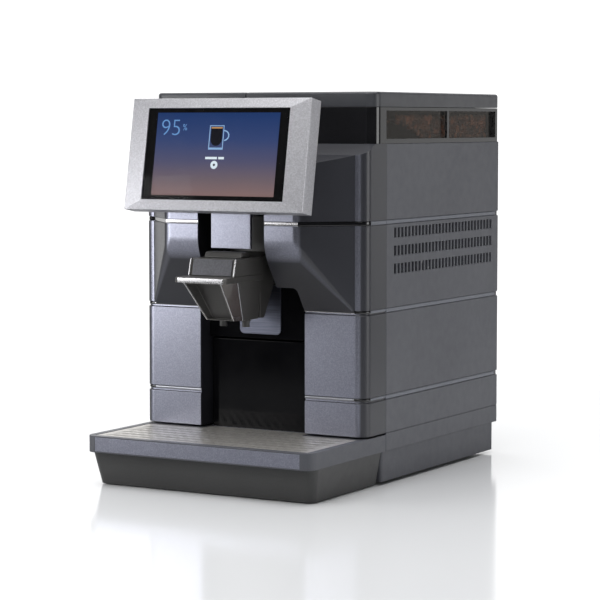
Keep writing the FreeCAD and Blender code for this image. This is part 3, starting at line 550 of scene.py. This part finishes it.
on_node(see_through("smoked_pane", (0.90, 0.87, 0.84), 0.03, 0.0, (0.004, 0.004, 0.004), most=0.45),
        "window_panes")
on_node(see_through("hopper_clear", (0.98, 0.97, 0.96), 0.06, 0.0, (0.01, 0.01, 0.01), most=0.15),
        "bean_hopper")
on_node(see_through("tank_clear", (0.90, 0.93, 0.95), 0.05, 0.08, (0.25, 0.28, 0.30)), "water_tank")
on_node(black_nylon, "tank_seat")

# ---------------------------------------------------------------------- lids
# Two hinged lids over the hopper and the tank, deep-drawn look, satin charcoal.
lid_plastic = moulded("lid_plastic", (0.050, 0.052, 0.060), (0.064, 0.067, 0.076), 0.36, 0.08)
eased("lid_beans", "hopper_lid", "hopper_cover", 0.0004, lid_plastic)
eased("lid_water", "tank_lid", "tank_cover", 0.0004, lid_plastic)

# ------------------------------------------------------------------- display
# A silver frame with mitred bevels round a dark cover glass, on a black arm.
silver = flaked("silver_flake", (0.48, 0.475, 0.495), (0.62, 0.615, 0.64), 0.40, 0.0011, 0.72, 0.3)
eased("display_shell", "display_housing", "cabinet", 0.0008, silver)
eased("display_frame", "display_bezel", "cabinet", 0.0006, silver, smooth=12.0, sharp=30.0)
eased("display_arm", "display_bracket", "cabinet", 0.001, liner_black)

# --------------------------------------------------------------------- spout
# Black mouldings that slide up and down as one. The painted cone and the badge on
# their front are built further on.
spout_black = moulded("spout_black", (0.060, 0.058, 0.056), (0.078, 0.075, 0.072), 0.36, 0.07, 0.0011, 0.6)
for name, node_name, width in (("spout_upper", "spout_block", 0.0007),
                               ("spout_waist", "spout_collar", 0.0007),
                               ("spout_tips", "nozzles", 0.0005), ("spout_cap", "spout_hood", 0.0022),
                               ("spout_slide", "spout_carriage", 0.0008)):
    eased(name, node_name, "spout", width, spout_black)

# ----------------------------------------------------------------- drip tray
# A tub, a rim with a painted fascia, and a slotted steel cup grid dropped in.
tub_plastic = moulded("tub_plastic", (0.062, 0.062, 0.062), (0.078, 0.078, 0.078), 0.36, 0.02, 0.0012)
eased("tray_basin", "tray_tub", "tray", 0.001, tub_plastic)
eased("tray_frame", "tray_rim", "tray", 0.0008, charcoal)
eased("tray_front", "tray_fascia", "tray", 0.0004, front_paint)
grid_steel = brushed("grid_steel", (0.50, 0.48, 0.46), (0.72, 0.70, 0.67), 0.38, (500, 60, 500),
                     metallic=0.62)
on_node(grid_steel, "cup_grid")


# ------------------------------------------------------ bright groove strips
# A polished strip lies in each of the three lines round the front. It is snapped
# into the groove, a little below the surface. It is bright metal on the flats and grey
# plastic along the sides. The darker metal in the lowest line and the gloss black round
# the corners are painted shade for the dark that those places reflect.
def lofted(name, loops):
    """A solid drawn up from its first loop of points through the others, all in metres."""
    bpy.ops.object.select_all(action="DESELECT")
    bpy.ops.mesh.primitive_circle_add(vertices=len(loops[0]), radius=0.01, fill_type="NGON")
    piece = bpy.context.active_object
    piece.name = name
    piece.data.name = name
    place_loop(piece, 0, loops[0])
    for i, loop in enumerate(loops[1:]):
        bpy.ops.object.mode_set(mode="EDIT")
        bpy.ops.mesh.select_mode(type="VERT")
        bpy.ops.mesh.extrude_region_move(TRANSFORM_OT_translate={"value": (0, 0, 0.01)})
        bpy.ops.object.mode_set(mode="OBJECT")
        place_loop(piece, (i + 1) * len(loop), loop)
    bpy.ops.object.mode_set(mode="EDIT")
    bpy.ops.mesh.select_all(action="SELECT")
    bpy.ops.mesh.normals_make_consistent(inside=False)
    bpy.ops.object.mode_set(mode="OBJECT")
    return piece


def place_loop(piece, first, loop):
    for i, point in enumerate(loop):
        piece.data.vertices[first + i].co = point


def soften(piece, width):
    """Rounds all sharp edges of a new piece and evens its shading."""
    only(piece)
    piece.data.materials.append(None)
    piece.data.materials.append(None)
    round_off = piece.modifiers.new("round_off", "BEVEL")
    round_off.width = width
    round_off.segments = 2
    round_off.limit_method = "ANGLE"
    round_off.angle_limit = math.radians(25)
    round_off.material = 1
    bpy.ops.object.modifier_apply(modifier=round_off.name)
    mark_edges(piece)
    even_normals(piece, 50.0)
    return piece


def fitted(piece, body, finish, slot, *stands_for):
    dress(piece, finish)
    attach(piece, body)
    if stands_for:
        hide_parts(*stands_for)
    return piece


half = 0.145
corner_r = 0.0132
seam_y = -0.061
bay_half = 0.0681
slot_outer = 0.0430


def front_run(inset, on_face):
    """Half of the front's outline seen from above, from its flat to the seam, at a depth."""
    k = inset * 0.42
    r = corner_r - inset
    cx, cy = half - corner_r, pillar_y + corner_r
    if on_face:
        flat = [(slot_outer + 0.0002, face_y + inset), (face_half - k, face_y + inset)]
        turn = [(face_half - k + 0.0001, face_y + inset + 0.0001), (cx - k, pillar_y + inset)]
    else:
        flat = [(bay_half + 0.0002, pillar_y + inset), (cx - k - 0.0010, pillar_y + inset)]
        turn = [(cx - k - 0.0009, pillar_y + inset)]
    for i in range(1, 7):
        a = math.radians(15.0 * i)
        turn.append((cx + r * math.sin(a), cy - r * math.cos(a)))
    side = [(half - inset, cy + 0.0001), (half - inset, seam_y - 0.0004)]
    return flat, turn, side


def groove_strip(name, side, low, high, lines, finish, slot):
    """A strip lying in a groove, with a shallow rounded front, along three lines of points."""
    loops = []
    for deep, shoulder, nose in zip(*lines):
        (xd, yd), (xs, ys), (xn, yn) = deep, shoulder, nose
        loops.append([
            (side * xd, yd, low), (side * xd, yd, high), (side * xs, ys, high),
            (side * xn, yn, high - 0.0008), (side * xn, yn, low + 0.0008), (side * xs, ys, low),
        ])
    strip = lofted(name, loops)
    even_normals(strip, 40)
    fitted(strip, "cabinet", finish, slot)


bright = brushed("bright_bar", (0.58, 0.58, 0.60), (0.70, 0.70, 0.72), 0.20, (30, 600, 600), 0.01)
# Painted shade: a darker copy of the bright bar for the lowest line, and gloss black for the corners.
painted_shade_bar = brushed("painted_shade_bar", (0.30, 0.31, 0.34), (0.40, 0.41, 0.45), 0.34, (30, 600, 600), 0.03)
corner_painted_shade = glossy("corner_painted_shade", (0.004, 0.004, 0.005), (0.010, 0.010, 0.012), 0.10, 0.3)
strip_grey = moulded("strip_grey", (0.155, 0.165, 0.195), (0.185, 0.195, 0.225), 0.42, 0.05, 0.0012, 0.3)
strip_insets = (0.00155, 0.0010, 0.0005)
strip_rear = 0.2225
for row, (z, low, high, front) in enumerate((
        (0.2939, -0.0023, 0.0023, bright), (0.1957, -0.0008, 0.0024, bright),
        (0.0986, -0.0004, 0.0024, painted_shade_bar))):
    runs = [front_run(inset, row == 0) for inset in strip_insets]
    for side, word in ((-1, "left"), (1, "right")):
        for part, (stretch, finish, slot) in enumerate((
                ("flat", front, "bright_trim"), ("turn", corner_painted_shade, "gloss_black"),
                ("wrap", strip_grey, "charcoal_plastic"))):
            groove_strip(f"strip_{row + 1}_{stretch}_{word}", side, z + low, z + high,
                         [run[part] for run in runs], finish, slot)
        panel = [[(half - inset, seam_y + 0.0006), (half - inset, strip_rear)] for inset in strip_insets]
        groove_strip(f"strip_{row + 1}_panel_{word}", side, z - 0.0020, z + 0.0022, panel, strip_grey,
                     "charcoal_plastic")

# ----------------------------------------------------------- spout cone, badge
# The cone under the waist is one moulding with a recessed front between two
# cheeks. Plated beads run down its corners and beside the badge.
def cone_loop(x_front, x_side, y_front, y_mid, z):
    y_back = -0.135
    return [(-x_front, y_front, z), (x_front, y_front, z), (x_side, y_mid, z),
            (x_side, y_back, z), (-x_side, y_back, z), (-x_side, y_mid, z)]


cone_low = cone_loop(0.0171, 0.0230, -0.1770, -0.1680, 0.1870)
cone_high = cone_loop(0.0235, 0.0275, -0.2145, -0.1860, 0.2304)
cone = lofted("spout_cone", [cone_low, cone_high])
bpy.ops.object.mode_set(mode="EDIT")
bpy.ops.mesh.select_mode(type="FACE")
bpy.ops.mesh.select_all(action="DESELECT")
bpy.ops.object.mode_set(mode="OBJECT")
for face in cone.data.polygons:
    face.select = set(face.vertices) == {0, 1, 6, 7}
bpy.ops.object.mode_set(mode="EDIT")
bpy.ops.mesh.inset(thickness=0.0016)
bpy.ops.mesh.extrude_region_move(TRANSFORM_OT_translate={"value": (0, 0.004, 0)})
bpy.ops.object.mode_set(mode="OBJECT")
recess = sorted([v for v in cone.data.vertices if v.select], key=lambda v: v.co.z)
for pair, (x, y, z) in ((recess[:2], (0.0118, -0.1725, 0.1888)), (recess[2:], (0.0212, -0.1950, 0.2290))):
    for v, side in zip(sorted(pair, key=lambda v: v.co.x), (-1, 1)):
        v.co = (side * x, y, z)
soften(cone, 0.0005)
fitted(cone, "spout", spout_black, "dark_plastic", "spout_funnel")

cheek_brown = glossy("cheek_gloss", (0.020, 0.014, 0.010), (0.060, 0.040, 0.028), 0.12, 0.5)


def bead(name, low, high, wide):
    """A slim square bead along an edge, from its low end to its high end."""
    h = wide / 2
    loops = []
    for x, y, z in (low, high):
        loops.append([(x - h, y - h, z), (x + h, y - h, z), (x + h, y + h, z), (x - h, y + h, z)])
    piece = lofted(name, loops)
    soften(piece, wide * 0.25)
    return piece


for side, word in ((-1, "left"), (1, "right")):
    ends = []
    for (xf, yf, z), (xs, ym, _) in ((cone_low[1], cone_low[2]), (cone_high[1], cone_high[2])):
        ends.append([(side * (xf + 0.0006), yf + 0.0010, z), (side * (xs - 0.0002), ym - 0.0008, z),
                     (side * (xs - 0.0006), ym - 0.0002, z), (side * (xf + 0.0002), yf + 0.0016, z)])
    shift = (side * 0.0002, -0.0002, 0)
    cheek = lofted("cheek_" + word,
                   [[tuple(a + b for a, b in zip(p, shift)) for p in loop] for loop in ends])
    soften(cheek, 0.0001)
    fitted(cheek, "spout", cheek_brown, "gloss_black")
    for place, at in (("front", 1), ("side", 2)):
        low = (side * cone_low[at][0], cone_low[at][1] + 0.0004, cone_low[at][2] + 0.0002)
        high = (side * cone_high[at][0], cone_high[at][1] + 0.0004, cone_high[at][2] - 0.0002)
        fitted(bead(f"cone_bead_{place}_{word}", low, high, 0.0015 if place == "front" else 0.0011),
               "spout", bright, "bright_trim")


def badge_y(z):
    return -0.1960 + (z - 0.237) * 0.0045 / 0.019


def badge_loop(x, z, depth0, depth1):
    y = badge_y(z)
    return [(-x, y + depth0, z), (x, y + depth0, z), (x, y + depth1, z), (-x, y + depth1, z)]


badge_half = 0.0250
badge = lofted("spout_badge", [badge_loop(badge_half, z, 0.0004, 0.0013) for z in (0.2378, 0.2553)])
soften(badge, 0.0003)
badge_paint = flaked("badge_flake", (0.085, 0.085, 0.092), (0.12, 0.12, 0.13), metallic=0.85)
fitted(badge, "spout", badge_paint, "front_metallic", "spout_plate")
for side, word in ((-1, "left"), (1, "right")):
    ends = [(side * 0.0287, badge_y(z) + 0.0005, z) for z in (0.2374, 0.2557)]
    fitted(bead("badge_bead_" + word, ends[0], ends[1], 0.0016), "spout", bright, "bright_trim")

bar_y = -0.2175


def bar_part(name, x0, x1, finish, slot, *stands_for):
    """One length of the bar across the front of the waist."""
    section = [(bar_y, 0.2304), (bar_y, 0.2362), (bar_y + 0.002, 0.2362), (bar_y + 0.002, 0.2304)]
    piece = lofted(name, [[(x, y, z) for y, z in section] for x in (x0, x1)])
    soften(piece, 0.0006)
    fitted(piece, "spout", finish, slot, *stands_for)


bar_part("spout_bar", -0.0300, 0.0285, bright, "bright_trim", "spout_trim")
bar_part("bar_end_left", -0.0326, -0.0301, spout_black, "dark_plastic")
bar_part("bar_end_right", 0.0286, 0.0326, spout_black, "dark_plastic")

# -------------------------------------------------------------- display glass
# Clear cover glass over a black printed border and a lit panel, all in the
# frame's own tilt.
tilt = math.radians(9.8)
display_low = (0.0, -0.1956, 0.308)
screen_mid = 0.06225


def tilted(piece):
    """From the display's own frame (across, depth, up) to its place."""
    only(piece)
    piece.rotation_euler = (-tilt, 0, 0)
    piece.location = display_low
    bpy.ops.object.transform_apply(location=True, rotation=True, scale=True)
    return piece


def plate_loop(half_x, half_z, depth):
    z = screen_mid
    return [(-half_x, depth, z - half_z), (half_x, depth, z - half_z), (half_x, depth, z + half_z),
            (-half_x, depth, z + half_z)]


glass_half = (0.0903, 0.0510)
cover = tilted(lofted("cover_glass", [plate_loop(*glass_half, -0.0031), plate_loop(*glass_half, -0.0025)]))
soften(cover, 0.0002)
fitted(cover, "cabinet",
       see_through("cover_glass", (0.97, 0.97, 0.97), 0.01, 0.0, (0.002, 0.002, 0.002), most=0.35),
       "black_glass", "display_glass")

lit_half = (0.0785, 0.0458)
border = tilted(lofted("glass_border",
                       [plate_loop(*glass_half, -0.0023), plate_loop(*glass_half, -0.0020)]))
ink = moulded("border_ink", (0.0012, 0.0012, 0.0016), (0.0024, 0.0024, 0.003), 0.6, 0.02, 0.0012, 0.2,
              specular=0.1)
fitted(border, "cabinet", ink, "black_glass")


def srgb(r, g, b):
    return tuple((c / 255 / 12.92) if c / 255 <= 0.04045 else ((c / 255 + 0.055) / 1.055) ** 2.4
                 for c in (r, g, b))


def lit(name, stops, grain=0.03):
    """A lit surface whose colour runs up the screen through the stops (height, colour)."""
    material, surface, node, join = shader(name)
    surface.inputs["Emission Strength"].default_value = 1.0
    surface.inputs["Specular IOR Level"].default_value = 0.1
    spot = node("TexCoord").outputs["Object"]
    parts = node("SeparateXYZ", [(0, spot)])
    low, high = stops[0][0], stops[-1][0]
    run = node("MapRange", [("Value", parts.outputs["Z"])], in_1=low, in_2=high)
    lean = node("TexNoise", [("Vector", spot)], in_2=18.0, in_3=2.0)
    sway = node("MapRange", [("Value", lean.outputs["Fac"])], in_3=-grain, in_4=grain)
    level = node("Math", [(0, run.outputs[0]), (1, sway.outputs[0])], operation="ADD")
    ramp = node("ValToRGB", [("Fac", level.outputs[0])])
    while len(ramp.color_ramp.elements) < len(stops):
        ramp.color_ramp.elements.new(0.5)
    for element, (height, colour) in zip(ramp.color_ramp.elements, stops):
        element.position = (height - low) / (high - low)
        element.color = (*srgb(*colour), 1)
    join(ramp.outputs["Color"], "Emission Color")
    dark = node("Mix", [(6, ramp.outputs["Color"])], data_type="RGBA", in_0=0.9)
    dark.inputs[7].default_value = (0.002, 0.002, 0.002, 1)
    join(dark.outputs[2], "Base Color")
    dots = node("TexNoise", [("Vector", spot)], in_2=900.0, in_3=1.0)
    haze = node("MapRange", [("Value", dots.outputs["Fac"])], in_3=0.25, in_4=0.4)
    join(haze.outputs[0], "Roughness")
    return material


screen = tilted(lofted("lit_screen", [plate_loop(*lit_half, -0.00240), plate_loop(*lit_half, -0.00232)]))
sky = lit("screen_sky", ((0.324, (131, 106, 104)), (0.342, (108, 95, 103)), (0.362, (80, 80, 108)),
                         (0.385, (52, 68, 112)), (0.413, (30, 55, 104))))
fitted(screen, "cabinet", sky, "lit_screen", "display_panel")


def drawn(name, points, finish, step=0.0):
    """A flat shape on the screen, from points (across, up) measured from its middle."""
    loops = [[(x, depth, screen_mid + z) for x, z in points]
             for depth in (-0.00246 - step, -0.00242 - step)]
    return fitted(tilted(lofted(name, loops)), "cabinet", finish, "lit_screen")


def box_points(x0, x1, z0, z1):
    return [(x0, z0), (x1, z0), (x1, z1), (x0, z1)]


ink_blue = lit("digit_blue", ((0.36, (96, 140, 196)), (0.43, (110, 158, 214))))
glass_blue = lit("icon_glass", ((0.36, (120, 158, 205)), (0.38, (150, 186, 226)), (0.43, (104, 140, 190))),
                 grain=0.3)
coffee_dark = lit("icon_coffee", ((0.36, (38, 40, 52)), (0.372, (22, 22, 30)), (0.43, (14, 13, 18))),
                  grain=0.2)
crema = lit("icon_crema", ((0.36, (176, 124, 70)), (0.43, (206, 158, 96))), grain=0.2)
white_light = lit("icon_white", ((0.34, (214, 230, 240)), (0.43, (238, 246, 250))))


def digits(name, words, size, x, z, thin, wide):
    """Flat numbers, cut from the plain built-in face and thinned."""
    bpy.ops.object.select_all(action="DESELECT")
    bpy.ops.object.text_add(location=(0, 0, 0))
    text = bpy.context.active_object
    text.name = name
    text.data.body = words
    text.data.size = size
    text.data.offset = -thin * size
    text.data.extrude = 0.00002
    bpy.ops.object.convert(target="MESH")
    text = bpy.context.active_object
    text.scale = (wide, 1, 1)
    text.rotation_euler = (math.radians(90), 0, 0)
    text.location = (x, -0.00244, screen_mid + z)
    bpy.ops.object.transform_apply(location=True, rotation=True, scale=True)
    return fitted(tilted(text), "cabinet", ink_blue, "lit_screen")


digits("share_number", "95", 0.0262, -0.0735, 0.0205, 0.018, 1.05)
digits("share_sign", "%", 0.0100, -0.0445, 0.0262, 0.0, 0.85)
drawn("icon_wall_left", box_points(-0.0093, -0.0083, 0.0050, 0.0318), glass_blue)
drawn("icon_wall_right", box_points(0.0083, 0.0093, 0.0050, 0.0318), glass_blue)
drawn("icon_rim", box_points(-0.0083, 0.0083, 0.0308, 0.0318), glass_blue)
drawn("icon_base", box_points(-0.0083, 0.0083, 0.0050, 0.0072), glass_blue)
bowl = [(0.0072, 0.0282)] + [(0.0072 * math.cos(a), 0.0162 - 0.0072 * math.sin(a))
                             for a in [math.pi * i / 10 for i in range(11)]]
drawn("icon_drink", bowl + [(-0.0072, 0.0282)], coffee_dark)
drawn("icon_crema", box_points(-0.0072, 0.0072, 0.0283, 0.0298), crema)
grip = []
for i in range(9):
    a = math.radians(100 - 22.5 * i)
    x, z = 0.0093 + 0.0072 * max(0.0, math.cos(a)), 0.0205 + 0.0062 * math.sin(a)
    s = 0.0093 + 0.0058 * max(0.0, math.cos(a)), 0.0205 + 0.0048 * math.sin(a)
    grip.append([(x, -0.00246, screen_mid + z), (s[0], -0.00246, screen_mid + s[1]),
                 (s[0], -0.00242, screen_mid + s[1]), (x, -0.00242, screen_mid + z)])
fitted(tilted(lofted("icon_grip", grip)), "cabinet", glass_blue, "lit_screen")
drawn("name_bar", box_points(-0.0120, 0.0030, -0.0056, -0.0030), white_light)
drawn("name_bar_end", box_points(0.0048, 0.0120, -0.0056, -0.0030), white_light)
ring_out = [(0.0045 * math.cos(a), -0.0118 + 0.0045 * math.sin(a))
            for a in [math.tau * i / 32 for i in range(32)]]
drawn("start_ring", ring_out, white_light)
ring_in = [(0.0014 * math.cos(a), -0.0118 + 0.0014 * math.sin(a))
           for a in [math.tau * i / 20 for i in range(20)]]
drawn("start_dot", ring_in, coffee_dark, 0.00005)

# ---------------------------------------------------------------- coffee beans
# Roasted beans fill the hopper. Only the outer layer is modelled bean by bean,
# over a dark core.
bean_brown, surface, node, join = shader("roasted_bean")
spot = node("TexCoord").outputs["Object"]
tone = node("Attribute", attribute_name="tone")
skin = node("TexNoise", [("Vector", spot)], in_2=420.0, in_3=4.0)
shade = node("Math", [(0, skin.outputs["Fac"]), (2, tone.outputs["Fac"])], operation="MULTIPLY_ADD",
             in_1=0.35)
brown = node("ValToRGB", [("Fac", shade.outputs[0])])
brown.color_ramp.elements[0].position = 0.1
brown.color_ramp.elements[0].color = (0.022, 0.009, 0.005, 1)
brown.color_ramp.elements[1].position = 1.1
brown.color_ramp.elements[1].color = (0.62, 0.24, 0.11, 1)
join(brown.outputs["Color"], "Base Color")
oil = node("MapRange", [("Value", skin.outputs["Fac"])], in_3=0.22, in_4=0.5)
join(oil.outputs[0], "Roughness")
wrinkle = node("Bump", [("Height", skin.outputs["Fac"])], in_0=0.4, in_1=0.0006)
join(wrinkle.outputs["Normal"], "Normal")

core = eased("bean_core", "coffee_beans", "cabinet", 0.0, bean_brown)
only(core)
bpy.ops.object.mode_set(mode="EDIT")
bpy.ops.mesh.select_all(action="SELECT")
bpy.ops.transform.shrink_fatten(value=-0.0045)
bpy.ops.object.mode_set(mode="OBJECT")

bpy.ops.object.select_all(action="DESELECT")
bpy.ops.mesh.primitive_uv_sphere_add(segments=10, ring_count=6, radius=0.0050)
first_bean = bpy.context.active_object
bpy.ops.object.mode_set(mode="EDIT")
bpy.ops.mesh.select_all(action="SELECT")
bpy.ops.transform.resize(value=(1.0, 0.72, 0.60))
bpy.ops.object.mode_set(mode="OBJECT")
for v in first_bean.data.vertices:
    if v.co.z < 0:
        v.co.z *= 0.45
    if abs(v.co.y) < 0.0006 and v.co.z < 0:
        v.co.z += 0.0011
first_bean.data.attributes.new("tone", "FLOAT", "FACE")
draw = random.Random(7)
beans = []


def drop_bean(x, y, z, turn):
    mesh = first_bean.data.copy()
    size = draw.uniform(0.86, 1.05)
    spin = turn @ Euler((0, 0, draw.uniform(0, math.tau))).to_matrix()
    mesh.transform((spin * size).to_4x4())
    mesh.transform(Matrix.Translation((x, y, z)))
    value = draw.choice((0.0, 0.1, 0.15, 0.25, 0.35, 0.6))
    mesh.attributes["tone"].data.foreach_set("value", [value] * len(mesh.polygons))
    bean = bpy.data.objects.new("bean", mesh)
    bpy.context.scene.collection.objects.link(bean)
    beans.append(bean)


for i in range(16):
    for j in range(27):
        y = -0.016 + 0.0088 * j
        flip = draw.choice((0, math.pi)) + draw.uniform(-0.5, 0.5)
        drop_bean(-0.008 + 0.0091 * i + draw.uniform(-0.001, 0.001), y + draw.uniform(-0.001, 0.001),
                  0.4048 + draw.uniform(-0.0012, 0.0010),
                  Euler((flip, draw.uniform(-0.4, 0.4), 0)).to_matrix())
for row in range(5):
    z = 0.3880 + 0.0053 * row
    start = 0.0475 - (z - 0.3841) * 2.70 + 0.008
    for j in range(34):
        y = start + 0.0068 * j + draw.uniform(-0.001, 0.001)
        if y < 0.2145:
            drop_bean(0.1325, y, z + draw.uniform(-0.001, 0.001),
                      Euler((draw.uniform(-0.4, 0.4), math.pi / 2 + draw.uniform(-0.35, 0.35),
                             draw.uniform(-0.3, 0.3))).to_matrix())
bpy.data.objects.remove(first_bean)
bpy.ops.object.select_all(action="DESELECT")
for bean in beans:
    bean.select_set(True)
bpy.context.view_layer.objects.active = beans[0]
bpy.ops.object.join()
layer = bpy.context.active_object
layer.name = "bean_layer"
only(layer)
bpy.ops.object.shade_smooth_by_angle(angle=math.radians(60))
fitted(layer, "cabinet", bean_brown, "roasted_bean")
